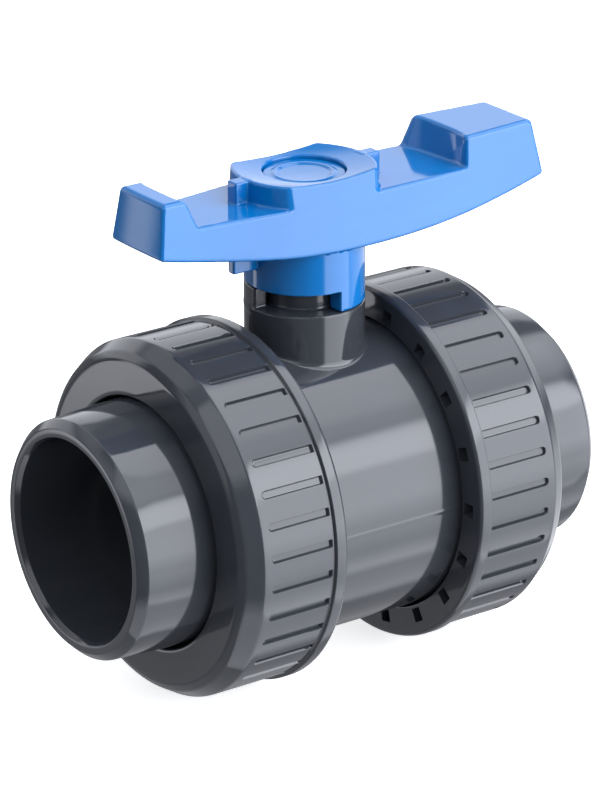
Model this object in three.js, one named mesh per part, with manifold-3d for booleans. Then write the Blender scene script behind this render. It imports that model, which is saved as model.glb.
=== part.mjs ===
// Double-union ball valve in PVC-U with solvent-cement sockets for 63 mm pipe.
// Millimetres. +X runs along the pipe, +Z up the stem. The origin is where the pipe axis
// and the stem axis cross, at the centre of the ball. The handle lies along the pipe: open.

import * as THREE from 'three';
import { mergeVertices } from 'three/addons/utils/BufferGeometryUtils.js';
import Module from 'manifold-3d';

const wasm = await Module();
wasm.setup();

// ---------------------------------------------------------------- driving dimensions

const PIPE_R = 31.5; // outside radius of the 63 mm pipe that the sockets take
const SOCKET_DEPTH = 38;
const FLOW_R = 25; // the way through is 50 mm
const GAP = 0.3; // between pieces that touch or seal
const SEG = 36; // facets round a turned surface
const FUSE = 0.004; // corners closer than this become one

const BODY_R = 47;
const BODY_HALF = 43.5; // pipe axis, centre to end face
const BARREL_HALF = 27; // the plain middle of the body, before the threads
const CAVITY_R = 36.8;
const CAVITY_HALF = 18.5;

const THREAD_PITCH = 6;
const THREAD_MINOR_R = 44.4;
const THREAD_CREST_R = 46.8;
const NUT_ROOT_R = 47.3;
const NUT_CREST_R = 45.4;
const THREAD_TURNS = 2;
const THREAD_STEPS = 18; // a turn, every second facet of the body
const THREAD_START = 29.4; // pipe axis, middle of the first thread's ridge

const BALL_R = 36;
const SEAT_FACE_R = BALL_R + GAP; // spherical seat face
const SEAT_POCKET_R = 33.3;
const SEAT_BACK = 30.5;
const SEAT_FRONT = 20;
const SEAT_RING_R = 29.5; // O-ring behind each seat
const SEAT_RING_T = 1.5;

const CARRIER_R = 40.6;
const CARRIER_IN = 18.8;
const CARRIER_OUT = 43.2;
const NOTCH_WIDTH = 3.8; // takes the two key lugs under the handle
const NOTCH_REACH = 28.6;
const NOTCH_DEPTH = 6.6;

const END_X = 86.3; // centre to the mouth of each socket
const COLLAR_R = 43.8;
const COLLAR_FRONT = 55.2;
const SPIGOT_R = 39;
const MOUTH_R = 37.5;
const FACE_RING_R = 33;
const FACE_RING_T = 1.45;

const NUT_REAR = 25;
const NUT_FRONT = 61.1;
const NUT_SHOULDER = COLLAR_FRONT + GAP;
const NUT_HOLE_R = 39.65;
const NUT_BAND_R = 56.25;
const NUT_RIM_R = 57.3;
const GRIPS = 36;
const GRIP_DEPTH = 1.1;
const GRIP_WIDTH = 2.3;
const GRIP_REACH = 52;
const POCKETS = 18; // in the rear face of each nut, to keep the wall even

const NECK_R = 18.62;
const NECK_FLOOR = 60; // the stop shelf round the stem
const NECK_TOP = 66.4;
const STOP_WALL_IN = 14;
const COLLAR_TUBE_R = 12.2;
const STEM_BORE_R = 9.35;
const STEM_R = 9;
const STEM_COLLAR_R = 13;
const STEM_SHELF = 43.8; // roof of the counterbore that holds the stem down
const STEM_FOOT = 38.2;
const TANG_X = 10;
const TANG_BOTTOM = 29.9;
const SQUARE = 12.4; // the stem's square, across flats
const STEM_TOP = 92;
const STEM_GROOVES = [49, 55];
const STEM_GROOVE_R = 6.75;
const STEM_RING_T = 1.15;

const SKIRT_BOTTOM = NECK_TOP + GAP;
const LUG_BOTTOM = NECK_FLOOR + GAP;
const BOSS_R = 22.8;
const BOSS_TOP = 101.7; // at the middle; it rises towards both ends of the bar
const RIB_X = 26.9; // reach of the two ribs that stiffen the boss
const RIB_HALF = 2.4;
const RIB_TOP = 102.4;
const FLOOR_Z = 95.6; // the two flats on top of the bar, for the fingers
const BLOCK_Z = 105.2;
const BLOCK_X = 51.5; // centre to each block's inner wall, at its top
const SCOOP = 1; // how far that wall is hollowed
const LEAN = 2.4; // how far the wall's foot comes forward, halfway across the bar
const LEAN_TWIST = 1.4; // and how much more or less of that there is at the bar's two sides
const ARC_R = 330; // underside of the bar
const ARC_X = 12;
const ARC_BOTTOM = 79.5;
const CAP_R = 12.6;
const CAP_SEAT = 98.4;
const CAP_TOP = 100.5;
const CAP_PEG_R = 3.7;
const CAP_PEG = 2.6; // length
const KEY_X = 27.4; // reach of the two key lugs under the bar
const KEY_HALF = 1.6;
const KEY_BOTTOM = 73.2;
const WALL = 3.4; // walls round the hollows under the bar

// ---------------------------------------------------------------- materials

const surface = (color, roughness) => new THREE.MeshStandardMaterial({ color, roughness, metalness: 0 });
const greyPlastic = () => surface(0x5c6168, 0.3);
const bluePlastic = () => surface(0x2f7fe0, 0.3);
const seatPlastic = () => surface(0xf1f0ec, 0.5);
const rubber = () => surface(0x17181a, 0.7);

// ---------------------------------------------------------------- solids

function signedVolume(geometry) {
  const position = geometry.attributes.position;
  const index = geometry.index.array;
  const a = new THREE.Vector3();
  const b = new THREE.Vector3();
  const c = new THREE.Vector3();
  let sum = 0;
  for (let i = 0; i < index.length; i += 3) {
    a.fromBufferAttribute(position, index[i]);
    b.fromBufferAttribute(position, index[i + 1]);
    c.fromBufferAttribute(position, index[i + 2]);
    sum += a.dot(b.cross(c));
  }
  return sum;
}

// A closed geometry as a solid for joining and cutting, whichever way its faces were wound.
function solid(geometry) {
  const bare = geometry.clone();
  bare.deleteAttribute('normal');
  bare.deleteAttribute('uv');
  const merged = mergeVertices(bare, 1e-4);
  const triangles = Uint32Array.from(merged.index.array);
  if (signedVolume(merged) < 0) triangles.reverse();
  const vertProperties = Float32Array.from(merged.attributes.position.array);
  return new wasm.Manifold(new wasm.Mesh({ numProp: 3, vertProperties, triVerts: triangles }));
}

function piece(name, shape, material) {
  const mesh = shape.simplify(FUSE).getMesh();
  const geometry = new THREE.BufferGeometry();
  geometry.setAttribute('position', new THREE.BufferAttribute(mesh.vertProperties, 3));
  geometry.setIndex(new THREE.BufferAttribute(mesh.triVerts, 1));
  geometry.computeVertexNormals();
  const result = new THREE.Mesh(geometry, material);
  result.name = name;
  return result;
}

const points = (list) => list.map(([r, along]) => new THREE.Vector2(r, along));

// A closed profile of [radius, x] turned about the pipe axis.
function turnedX(profile, segments = SEG) {
  const outline = profile.concat([profile[0]]);
  return solid(new THREE.LatheGeometry(points(outline), segments).rotateZ(-Math.PI / 2));
}

// A closed profile of [radius, z] turned about the stem axis.
function turnedZ(profile, segments = SEG) {
  const outline = profile.concat([profile[0]]);
  return solid(new THREE.LatheGeometry(points(outline), segments).rotateX(Math.PI / 2));
}

function box(x0, x1, y0, y1, z0, z1) {
  const geometry = new THREE.BoxGeometry(x1 - x0, y1 - y0, z1 - z0);
  return solid(geometry.translate((x0 + x1) / 2, (y0 + y1) / 2, (z0 + z1) / 2));
}

function cylinderZ(radius, z0, z1, segments = SEG) {
  const geometry = new THREE.CylinderGeometry(radius, radius, z1 - z0, segments).rotateX(Math.PI / 2);
  return solid(geometry.translate(0, 0, (z0 + z1) / 2));
}

function cylinderX(radius, x0, x1, segments = SEG) {
  const geometry = new THREE.CylinderGeometry(radius, radius, x1 - x0, segments).rotateZ(Math.PI / 2);
  return solid(geometry.translate((x0 + x1) / 2, 0, 0));
}

// A plan outline raised from z0 to z1.
function raised(outline, z0, z1, curveSegments = 12) {
  const depth = z1 - z0;
  const geometry = new THREE.ExtrudeGeometry(outline, { depth, bevelEnabled: false, curveSegments });
  return solid(geometry.translate(0, 0, z0));
}

// A sector of a ring about the stem axis, between two plan angles in degrees.
function sector(inner, outer, from, to, z0, z1) {
  const [a, b] = [from, to].map(THREE.MathUtils.degToRad);
  const outline = new THREE.Shape();
  outline.absarc(0, 0, outer, a, b, false);
  outline.absarc(0, 0, inner, b, a, true);
  outline.closePath();
  return raised(outline, z0, z1, 10);
}

// One helical ridge about the pipe axis, right-handed. Its section is a trapezoid from the
// root radius, where it is widest, to the crest radius.
function thread(rootR, crestR, rootWidth, crestWidth, start) {
  const section = new THREE.Shape();
  section.moveTo(rootR, -rootWidth / 2);
  section.lineTo(crestR, -crestWidth / 2);
  section.lineTo(crestR, crestWidth / 2);
  section.lineTo(rootR, rootWidth / 2);
  section.closePath();
  const steps = THREAD_TURNS * THREAD_STEPS;
  const ridge = new THREE.ExtrudeGeometry(section, { depth: THREAD_TURNS, steps, bevelEnabled: false });
  const position = ridge.attributes.position;
  for (let i = 0; i < position.count; i += 1) {
    const radius = position.getX(i);
    const turns = position.getZ(i);
    const angle = turns * 2 * Math.PI;
    const along = start + position.getY(i) + turns * THREAD_PITCH;
    position.setXYZ(i, along, radius * Math.cos(angle), radius * Math.sin(angle));
  }
  return solid(ridge);
}

function ringX(radius, section, x, segments = 22) {
  return solid(new THREE.TorusGeometry(radius, section, 5, segments).rotateY(Math.PI / 2).translate(x, 0, 0));
}

function ringZ(radius, section, z, segments = 20) {
  return solid(new THREE.TorusGeometry(radius, section, 5, segments).translate(0, 0, z));
}

// ---------------------------------------------------------------- body

// The body's thread as it lies on the +X end; the -X end has the same, turned half round.
function bodyThread() {
  return thread(THREAD_MINOR_R - 0.5, THREAD_CREST_R, 3.6, 2, THREAD_START);
}

function seatPocket(back, side) {
  const open = FLOW_R - 2;
  return turnedX([
    [open, side * (back - 1.5)],
    [SEAT_POCKET_R, side * (back - 1.5)],
    [SEAT_POCKET_R, side * (back + GAP)],
    [SEAT_RING_R + SEAT_RING_T + GAP, side * (back + GAP)],
    [SEAT_RING_R + SEAT_RING_T + GAP, side * (back + 4)],
    [SEAT_RING_R - SEAT_RING_T - GAP, side * (back + 4)],
    [SEAT_RING_R - SEAT_RING_T - GAP, side * (back + GAP)],
    [open, side * (back + GAP)],
  ]);
}

function valveBody() {
  const shell = turnedX([
    [FLOW_R, -BODY_HALF],
    [THREAD_MINOR_R - 1, -BODY_HALF],
    [THREAD_MINOR_R, -BODY_HALF + 1],
    [THREAD_MINOR_R, -BARREL_HALF - 1.2],
    [BODY_R, -BARREL_HALF],
    [BODY_R, BARREL_HALF],
    [THREAD_MINOR_R, BARREL_HALF + 1.2],
    [THREAD_MINOR_R, BODY_HALF - 1],
    [THREAD_MINOR_R - 1, BODY_HALF],
    [CARRIER_R + GAP, BODY_HALF],
    [CARRIER_R + GAP, CAVITY_HALF],
    [CAVITY_R, CAVITY_HALF],
    [CAVITY_R, -CAVITY_HALF],
    [SEAT_POCKET_R, -SEAT_FRONT],
    [SEAT_POCKET_R, -SEAT_BACK + 1],
    [FLOW_R, -SEAT_BACK + 1],
  ]);
  const trimmed = bodyThread().intersect(cylinderX(BODY_R, 0, BODY_HALF - 0.2));
  const cavity = cylinderX(CAVITY_R, -CAVITY_HALF, CAVITY_HALF);
  const neck = cylinderZ(NECK_R, 38, NECK_FLOOR)
    .add(cylinderZ(COLLAR_TUBE_R, NECK_FLOOR - 2, NECK_TOP - 0.5))
    .add(sector(STOP_WALL_IN, NECK_R, 0, 180, NECK_FLOOR - 2, NECK_TOP))
    .subtract(cavity);
  const bore = cylinderZ(STEM_BORE_R, 30, NECK_TOP + 1);
  const counterbore = cylinderZ(STEM_COLLAR_R + 0.35, 30, STEM_SHELF);
  return shell
    .add(neck)
    .add(trimmed)
    .add(trimmed.rotate([0, 0, 180]))
    .subtract(seatPocket(SEAT_BACK, -1))
    .subtract(bore)
    .subtract(counterbore);
}

// ---------------------------------------------------------------- ball, seats, carrier

function ballSolid() {
  const sphere = new THREE.SphereGeometry(BALL_R, SEG, 18).rotateZ(Math.PI / 2);
  const slotHalf = TANG_X / 2 + GAP;
  const slot = box(-slotHalf, slotHalf, -BALL_R, BALL_R, TANG_BOTTOM - 0.4, BALL_R + 1);
  return solid(sphere)
    .subtract(cylinderX(FLOW_R, -BALL_R - 1, BALL_R + 1))
    .subtract(slot);
}

function seat(side) {
  const faceX = (r) => side * Math.sqrt(SEAT_FACE_R ** 2 - r ** 2);
  const tipR = Math.sqrt(SEAT_FACE_R ** 2 - SEAT_FRONT ** 2);
  const innerR = FLOW_R + 0.3;
  const middleR = (tipR + innerR) / 2;
  return turnedX([
    [innerR, faceX(innerR)],
    [middleR, faceX(middleR)],
    [tipR, side * SEAT_FRONT],
    [SEAT_POCKET_R - GAP, side * SEAT_FRONT],
    [SEAT_POCKET_R - GAP, side * SEAT_BACK],
    [innerR, side * SEAT_BACK],
  ], 30);
}

function seatRing(side) {
  return ringX(SEAT_RING_R, SEAT_RING_T, side * (SEAT_BACK + GAP + 1.9));
}

const CARRIER_GROOVE = 25.8;
const CARRIER_RING_T = 1.25;

function seatCarrier() {
  const ring = turnedX([
    [SEAT_POCKET_R, CARRIER_IN],
    [CARRIER_R, CARRIER_IN],
    [CARRIER_R, CARRIER_GROOVE - 1.6],
    [CARRIER_R - 3.4, CARRIER_GROOVE - 1.6],
    [CARRIER_R - 3.4, CARRIER_GROOVE + 1.6],
    [CARRIER_R, CARRIER_GROOVE + 1.6],
    [CARRIER_R, CARRIER_OUT],
    [FLOW_R, CARRIER_OUT],
    [FLOW_R, SEAT_BACK + GAP],
    [SEAT_RING_R - SEAT_RING_T - GAP, SEAT_BACK + GAP],
    [SEAT_RING_R - SEAT_RING_T - GAP, SEAT_BACK + 4],
    [SEAT_RING_R + SEAT_RING_T + GAP, SEAT_BACK + 4],
    [SEAT_RING_R + SEAT_RING_T + GAP, SEAT_BACK + GAP],
    [SEAT_POCKET_R, SEAT_BACK + GAP],
  ]);
  const half = NOTCH_WIDTH / 2;
  const from = CARRIER_OUT - NOTCH_DEPTH;
  return ring
    .subtract(box(from, CARRIER_OUT + 1, FLOW_R - 2, NOTCH_REACH, -half, half))
    .subtract(box(from, CARRIER_OUT + 1, -NOTCH_REACH, -FLOW_R + 2, -half, half));
}

function carrierRing() {
  return ringX(CARRIER_R - GAP - CARRIER_RING_T, CARRIER_RING_T, CARRIER_GROOVE);
}

// ---------------------------------------------------------------- stem

function stemRing(z) {
  return ringZ(STEM_GROOVE_R + GAP / 2 + STEM_RING_T, STEM_RING_T, z);
}

function stemSolid() {
  const grooveHalf = 1.4;
  const grooveR = STEM_GROOVE_R;
  const grooves = STEM_GROOVES.flatMap((z) => [
    [STEM_R, z - grooveHalf],
    [grooveR, z - grooveHalf],
    [grooveR, z + grooveHalf],
    [STEM_R, z + grooveHalf],
  ]);
  const collarTop = STEM_SHELF - 1.8;
  const shaft = turnedZ([
    [0, STEM_FOOT],
    [STEM_COLLAR_R, STEM_FOOT],
    [STEM_COLLAR_R, collarTop],
    [STEM_R, collarTop],
    ...grooves,
    [STEM_R, NECK_TOP + 0.1],
    [0, NECK_TOP + 0.1],
  ], 30);
  const tang = box(-TANG_X / 2, TANG_X / 2, -20, 20, TANG_BOTTOM, STEM_FOOT + 1)
    .intersect(cylinderZ(STEM_COLLAR_R - 0.2, TANG_BOTTOM - 1, STEM_FOOT + 2));
  const half = SQUARE / 2;
  const square = box(-half, half, -half, half, NECK_TOP - 1, STEM_TOP)
    .intersect(cylinderZ(STEM_R - 0.6, NECK_TOP - 2, STEM_TOP + 1));
  return shaft.add(tang).add(square);
}

function stemWasher() {
  const top = STEM_SHELF - GAP;
  return turnedZ([
    [STEM_R + GAP, top - 1.2],
    [STEM_COLLAR_R, top - 1.2],
    [STEM_COLLAR_R, top],
    [STEM_R + GAP, top],
  ], 30);
}

// ---------------------------------------------------------------- handle

// Half-width of the bar in plan, at the height of the finger flats: it swells at the hub
// and narrows to both ends.
const BAR_LEFT = -62.2;
const BAR_RIGHT = 82.2;
const BAR_PLAN = [
  [BAR_LEFT, 12.7],
  [-48, 12.9],
  [-36, 13.8],
  [-26, 15.1],
  [-16, 16.3],
  [0, 16.9],
  [17, 16.7],
  [34, 16.3],
  [48, 15.6],
  [64, 14.3],
  [BAR_RIGHT, 12.7],
];
const CORNER = 1.2; // radius of the upright corners at both ends
const SIDE_DRAFT = 0.009; // share of the half-width lost for each millimetre of height

function barOutline(inset = 0, from = BAR_LEFT, to = BAR_RIGHT) {
  const side = new THREE.SplineCurve(BAR_PLAN.map(([x, w]) => new THREE.Vector2(x, w - inset)));
  const samples = side.getPoints(72);
  const inside = samples.filter((p) => p.x > from + CORNER && p.x < to - CORNER);
  const edge = inside.filter((p, i) => i % 4 === 0);
  const widthAt = (x) => samples.reduce((a, b) => (Math.abs(b.x - x) < Math.abs(a.x - x) ? b : a)).y;
  const corner = (x, sign) => {
    const w = widthAt(x) - CORNER;
    return [0, 30, 60, 90].map((degrees) => {
      const a = THREE.MathUtils.degToRad(degrees);
      return new THREE.Vector2(x - sign * CORNER + sign * CORNER * Math.cos(a), w + CORNER * Math.sin(a));
    });
  };
  const upper = [...corner(from, -1), ...edge, ...corner(to, 1).reverse()];
  const lower = upper.map((p) => new THREE.Vector2(p.x, -p.y)).reverse();
  return new THREE.Shape([...upper, ...lower]);
}

// The same outline raised, with the sides drawn in as they rise.
function draftedBar(outline, z0, z1) {
  const geometry = new THREE.ExtrudeGeometry(outline, { depth: z1 - z0, bevelEnabled: false });
  geometry.translate(0, 0, z0);
  const position = geometry.attributes.position;
  for (let i = 0; i < position.count; i += 1) {
    const scale = 1 - SIDE_DRAFT * (position.getZ(i) - FLOOR_Z);
    position.setY(i, position.getY(i) * scale);
  }
  return solid(geometry);
}

// A side outline of [x, z] points, drawn through the whole width.
function sideCut(outline, halfWidth = 40) {
  const geometry = new THREE.ExtrudeGeometry(new THREE.Shape(points(outline)), {
    depth: 2 * halfWidth,
    bevelEnabled: false,
  });
  return solid(geometry.rotateX(Math.PI / 2).translate(0, halfWidth, 0));
}

const underside = (x) => ARC_BOTTOM + ARC_R - Math.sqrt(ARC_R ** 2 - (x - ARC_X) ** 2);

function undersidePoints(from, to, steps) {
  return Array.from({ length: steps + 1 }, (_, i) => {
    const x = from + ((to - from) * i) / steps;
    return [x, underside(x)];
  });
}

// The space over the finger flats: a boss is left round the stem. The inner walls of the two
// blocks are hollowed a little and lean, one the other turned half round.
function fingerSpace() {
  const wide = 30;
  const bend = 12;
  const hole = new THREE.Path();
  hole.absarc(0, 0, BOSS_R, 0, 2 * Math.PI, true);
  const plan = new THREE.Shape();
  plan.moveTo(-BLOCK_X, -wide);
  plan.lineTo(BLOCK_X, -wide);
  plan.lineTo(BLOCK_X, -bend);
  plan.quadraticCurveTo(BLOCK_X + 2 * SCOOP, 0, BLOCK_X, bend);
  plan.lineTo(BLOCK_X, wide);
  plan.lineTo(-BLOCK_X, wide);
  plan.lineTo(-BLOCK_X, bend);
  plan.quadraticCurveTo(-BLOCK_X - 2 * SCOOP, 0, -BLOCK_X, -bend);
  plan.closePath();
  plan.holes.push(hole);
  const depth = BLOCK_Z + 5 - FLOOR_Z;
  const geometry = new THREE.ExtrudeGeometry(plan, { depth, bevelEnabled: false, curveSegments: 8 });
  geometry.translate(0, 0, FLOOR_Z);
  const position = geometry.attributes.position;
  for (let i = 0; i < position.count; i += 1) {
    const x = position.getX(i);
    const end = Math.abs(x) > BOSS_R + 1 ? Math.sign(x) : 0;
    const across = THREE.MathUtils.clamp((end * position.getY(i)) / bend, -1, 1);
    const rise = (position.getZ(i) - BLOCK_Z) / (BLOCK_Z - FLOOR_Z);
    position.setX(i, x + end * rise * (LEAN + LEAN_TWIST * across));
  }
  return solid(geometry);
}

// The hollows moulded under one arm, with cross ribs left between them.
function armHollows(from, to, ribs, roof) {
  const hollow = draftedBar(barOutline(WALL, from, to), ARC_BOTTOM - 2, roof);
  return ribs.reduce((left, x) => left.subtract(box(x - 1.2, x + 1.2, -30, 30, 70, 110)), hollow);
}

function handleSolid() {
  const side = sideCut([
    ...undersidePoints(BAR_LEFT + 0.6, BAR_RIGHT - 0.6, 24),
    [BAR_RIGHT, underside(BAR_RIGHT) + 0.6],
    [BAR_RIGHT - 3.4, BLOCK_Z - 0.6],
    [BAR_RIGHT - 4.4, BLOCK_Z],
    [36, BLOCK_Z],
    [24, BOSS_TOP + 1.2],
    [16.5, BOSS_TOP + 1.1],
    [8, BOSS_TOP + 0.3],
    [0, BOSS_TOP],
    [-8, BOSS_TOP + 0.3],
    [-16.5, BOSS_TOP + 1.1],
    [-24, BOSS_TOP + 1.2],
    [-36, BLOCK_Z - 0.6],
    [BAR_LEFT + 3, BLOCK_Z - 0.6],
    [BAR_LEFT + 2, BLOCK_Z - 1.2],
    [BAR_LEFT, underside(BAR_LEFT) + 0.6],
  ]);
  const bar = draftedBar(barOutline(), ARC_BOTTOM - 2, BLOCK_Z + 3)
    .intersect(side)
    .subtract(fingerSpace())
    .subtract(armHollows(BAR_LEFT + WALL, -NECK_R - 1, [-34, -47], FLOOR_Z - WALL))
    .subtract(armHollows(NECK_R + 1, BAR_RIGHT - WALL - 0.6, [34, 49, 64], FLOOR_Z - WALL));
  const hub = cylinderZ(NECK_R, SKIRT_BOTTOM, ARC_BOTTOM + 3);
  const lug = sector(COLLAR_TUBE_R + 0.5, NECK_R, -89, -1, LUG_BOTTOM, SKIRT_BOTTOM + 1);
  const keys = box(-KEY_X, KEY_X, -KEY_HALF, KEY_HALF, KEY_BOTTOM, underside(KEY_X) + 10);
  const rib = box(BOSS_R - 2, RIB_X, -RIB_HALF, RIB_HALF, FLOOR_Z - 1, RIB_TOP);
  const hole = SQUARE / 2 + GAP;
  return bar
    .add(hub)
    .add(keys)
    .add(rib)
    .add(rib.rotate([0, 0, 180]))
    .add(lug)
    .subtract(box(-hole, hole, -hole, hole, LUG_BOTTOM - 1, STEM_TOP + 1))
    .subtract(cylinderZ(STEM_R + 0.4, LUG_BOTTOM - 1, SKIRT_BOTTOM + 0.6))
    .subtract(cylinderZ(CAP_R + GAP, CAP_SEAT, BOSS_TOP + 3))
    .subtract(cylinderZ(CAP_PEG_R + GAP, CAP_SEAT - CAP_PEG - 0.4, BOSS_TOP + 3, 16));
}

// The round cap that snaps into the boss: a disc on a short peg, with a plain raised ring.
function handleCap() {
  const [ringIn, ringOut, groove] = [5.5, 9, 0.5];
  return turnedZ([
    [0, CAP_SEAT - CAP_PEG],
    [CAP_PEG_R, CAP_SEAT - CAP_PEG],
    [CAP_PEG_R, CAP_SEAT + GAP],
    [CAP_R, CAP_SEAT + GAP],
    [CAP_R, CAP_TOP],
    [ringOut, CAP_TOP],
    [ringOut, CAP_TOP - groove],
    [ringIn, CAP_TOP - groove],
    [ringIn, CAP_TOP],
    [0, CAP_TOP],
  ], 30);
}

// ---------------------------------------------------------------- ends, for the +X side

function endConnector() {
  const inner = BODY_HALF + GAP;
  const bottom = END_X - SOCKET_DEPTH;
  const grooveHalf = FACE_RING_T + 0.6;
  const grooveBottom = inner + 2 * FACE_RING_T + 0.35;
  return turnedX([
    [FLOW_R, inner],
    [FACE_RING_R - grooveHalf, inner],
    [FACE_RING_R - grooveHalf, grooveBottom],
    [FACE_RING_R + grooveHalf, grooveBottom],
    [FACE_RING_R + grooveHalf, inner],
    [COLLAR_R, inner],
    [COLLAR_R, COLLAR_FRONT],
    [SPIGOT_R, COLLAR_FRONT],
    [MOUTH_R, END_X - 2.7],
    [MOUTH_R - 2.7, END_X],
    [PIPE_R + 0.9, END_X],
    [PIPE_R, END_X - 1.6],
    [PIPE_R, bottom],
    [FLOW_R, bottom],
  ]);
}

function faceRing() {
  return ringX(FACE_RING_R, FACE_RING_T, BODY_HALF + GAP + FACE_RING_T + 0.05);
}

function grip() {
  const half = GRIP_WIDTH / 2;
  return box(NUT_REAR + 5.2, GRIP_REACH, -half, half, NUT_BAND_R - GRIP_DEPTH, NUT_BAND_R + 3);
}

function unionNut() {
  const shell = turnedX([
    [NUT_ROOT_R + 0.4, NUT_REAR],
    [NUT_RIM_R - 1.4, NUT_REAR],
    [NUT_RIM_R, NUT_REAR + 1.2],
    [NUT_RIM_R, NUT_REAR + 4],
    [NUT_BAND_R, NUT_REAR + 4.8],
    [NUT_BAND_R, NUT_FRONT - 6],
    [NUT_BAND_R - 1.3, NUT_FRONT - 3.6],
    [NUT_BAND_R - 3, NUT_FRONT - 1.2],
    [NUT_BAND_R - 5.4, NUT_FRONT],
    [NUT_HOLE_R + 0.5, NUT_FRONT],
    [NUT_HOLE_R, NUT_FRONT - 0.6],
    [NUT_HOLE_R, NUT_SHOULDER],
    [COLLAR_R + 1.4, NUT_SHOULDER],
    [COLLAR_R + 1.4, BODY_HALF + 1.5],
    [NUT_ROOT_R, BODY_HALF + 0.5],
    [NUT_ROOT_R, NUT_REAR + 2.4],
  ]);
  const start = THREAD_START - THREAD_PITCH / 2;
  const ridge = thread(NUT_ROOT_R + 0.6, NUT_CREST_R, 3.2, 1.6, start + 0.1)
    .intersect(cylinderX(NUT_RIM_R - 4, BARREL_HALF + 1.8, BODY_HALF));
  const slot = grip();
  const slots = Array.from({ length: GRIPS }, (_, i) => slot.rotate([((i + 0.5) * 360) / GRIPS, 0, 0]));
  const pocket = box(NUT_REAR - 1, NUT_REAR + 7, -2, 2, NUT_ROOT_R + 1.6, NUT_BAND_R - 3.2);
  const pockets = Array.from({ length: POCKETS }, (_, i) => pocket.rotate([(i * 360) / POCKETS, 0, 0]));
  const cuts = slots.concat(pockets).reduce((all, cut) => all.add(cut));
  return shell.add(ridge).subtract(cuts);
}

// ---------------------------------------------------------------- assembly

const valve = new THREE.Group();

valve.add(piece('valve_body', valveBody(), greyPlastic()));
valve.add(piece('ball', ballSolid(), greyPlastic()));
valve.add(piece('ball_seat_inlet', seat(-1), seatPlastic()));
valve.add(piece('ball_seat_outlet', seat(1), seatPlastic()));
valve.add(piece('seat_oring_inlet', seatRing(-1), rubber()));
valve.add(piece('seat_oring_outlet', seatRing(1), rubber()));
valve.add(piece('seat_carrier', seatCarrier(), greyPlastic()));
valve.add(piece('carrier_oring', carrierRing(), rubber()));

const stem = new THREE.Group();
stem.add(piece('stem', stemSolid(), greyPlastic()));
stem.add(piece('stem_washer', stemWasher(), seatPlastic()));
stem.add(piece('stem_oring_lower', stemRing(STEM_GROOVES[0]), rubber()));
stem.add(piece('stem_oring_upper', stemRing(STEM_GROOVES[1]), rubber()));
stem.add(piece('handle', handleSolid(), bluePlastic()));
stem.add(piece('handle_cap', handleCap(), bluePlastic()));
valve.add(stem);

// Both ends are the same pieces; the inlet's are turned half round about the stem axis.
const ends = [
  ['inlet', Math.PI],
  ['outlet', 0],
];
for (const [name, turn] of ends) {
  const end = new THREE.Group();
  end.rotation.z = turn;
  end.add(piece(`end_connector_${name}`, endConnector(), greyPlastic()));
  end.add(piece(`face_oring_${name}`, faceRing(), rubber()));
  end.add(piece(`union_nut_${name}`, unionNut(), greyPlastic()));
  valve.add(end);
}

export default valve;
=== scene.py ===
"""Looks of a double-union ball valve: detailed pieces, materials, light and camera round its frame.

Lengths are in millimetres unless a name ends in _M. +X runs along the pipe, +Z up the stem, and the
origin is the centre of the ball, as in the frame.
"""

import math

import bpy
import numpy as np
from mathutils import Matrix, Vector


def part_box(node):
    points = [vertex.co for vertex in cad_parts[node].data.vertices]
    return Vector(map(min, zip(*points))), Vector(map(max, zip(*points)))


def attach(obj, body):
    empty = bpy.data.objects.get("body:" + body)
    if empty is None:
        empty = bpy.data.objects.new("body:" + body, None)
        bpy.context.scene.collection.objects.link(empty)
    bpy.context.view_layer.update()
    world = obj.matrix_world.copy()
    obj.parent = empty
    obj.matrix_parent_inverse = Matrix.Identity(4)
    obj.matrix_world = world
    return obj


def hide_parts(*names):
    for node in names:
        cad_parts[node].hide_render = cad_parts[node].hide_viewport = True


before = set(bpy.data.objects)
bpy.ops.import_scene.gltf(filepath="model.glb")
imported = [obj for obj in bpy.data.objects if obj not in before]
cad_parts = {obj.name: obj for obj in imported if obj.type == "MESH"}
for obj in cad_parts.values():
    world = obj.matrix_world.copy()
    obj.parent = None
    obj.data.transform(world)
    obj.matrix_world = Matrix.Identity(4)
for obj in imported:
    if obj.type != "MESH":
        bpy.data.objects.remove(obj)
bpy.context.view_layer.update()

MM = 0.001

# ------------------------------------------------------------------ sizes, read from the frame


def box_mm(node):
    low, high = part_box(node)
    return np.array(low) / MM, np.array(high) / MM


body_high = box_mm("valve_body")[1]
nut_low, nut_high = box_mm("union_nut_outlet")
end_low, end_high = box_mm("end_connector_outlet")
handle_low, handle_high = box_mm("handle")

BODY_HALF = body_high[0]
BODY_R = body_high[1]
NECK_TOP = body_high[2]
NUT_REAR = nut_low[0]
NUT_FRONT = nut_high[0]
NUT_RIM_R = nut_high[1]
END_X = end_high[0]
END_INNER = end_low[0]
COLLAR_R = end_high[1]
BAR_LEFT = handle_low[0]
BAR_RIGHT = handle_high[0]
LUG_BOTTOM = handle_low[2]
BLOCK_Z = handle_high[2]

# ------------------------------------------------------------------ sizes of the shapes

GAP = 0.3
FLOW_R = 25.0

# sockets and their collars
PIPE_R = 31.5
SOCKET_DEPTH = 38.0
SPIGOT_R = 39.0
MOUTH_R = 37.5
COLLAR_FRONT = 55.2
FACE_GROOVE_IN_R = 30.95
FACE_GROOVE_OUT_R = 35.05
FACE_RING_R = 33.0
FACE_RING_T = 1.45

# barrel, ball and seats
BARREL_HALF = 27.0
PARTING_HEIGHT = 0.12
PARTING_HALF = 0.45
CAVITY_R = 36.8
CAVITY_HALF = 18.5
SEAT_POCKET_R = 33.3
SEAT_BACK = 30.5
SEAT_FRONT = 20.0
SEAT_RING_R = 29.5
SEAT_RING_T = 1.5
SEAT_GROOVE_HALF = 1.8
SEAT_GROOVE_DEPTH = 4.0
BALL_R = 36.0
SEAT_FACE_R = BALL_R + GAP

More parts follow.
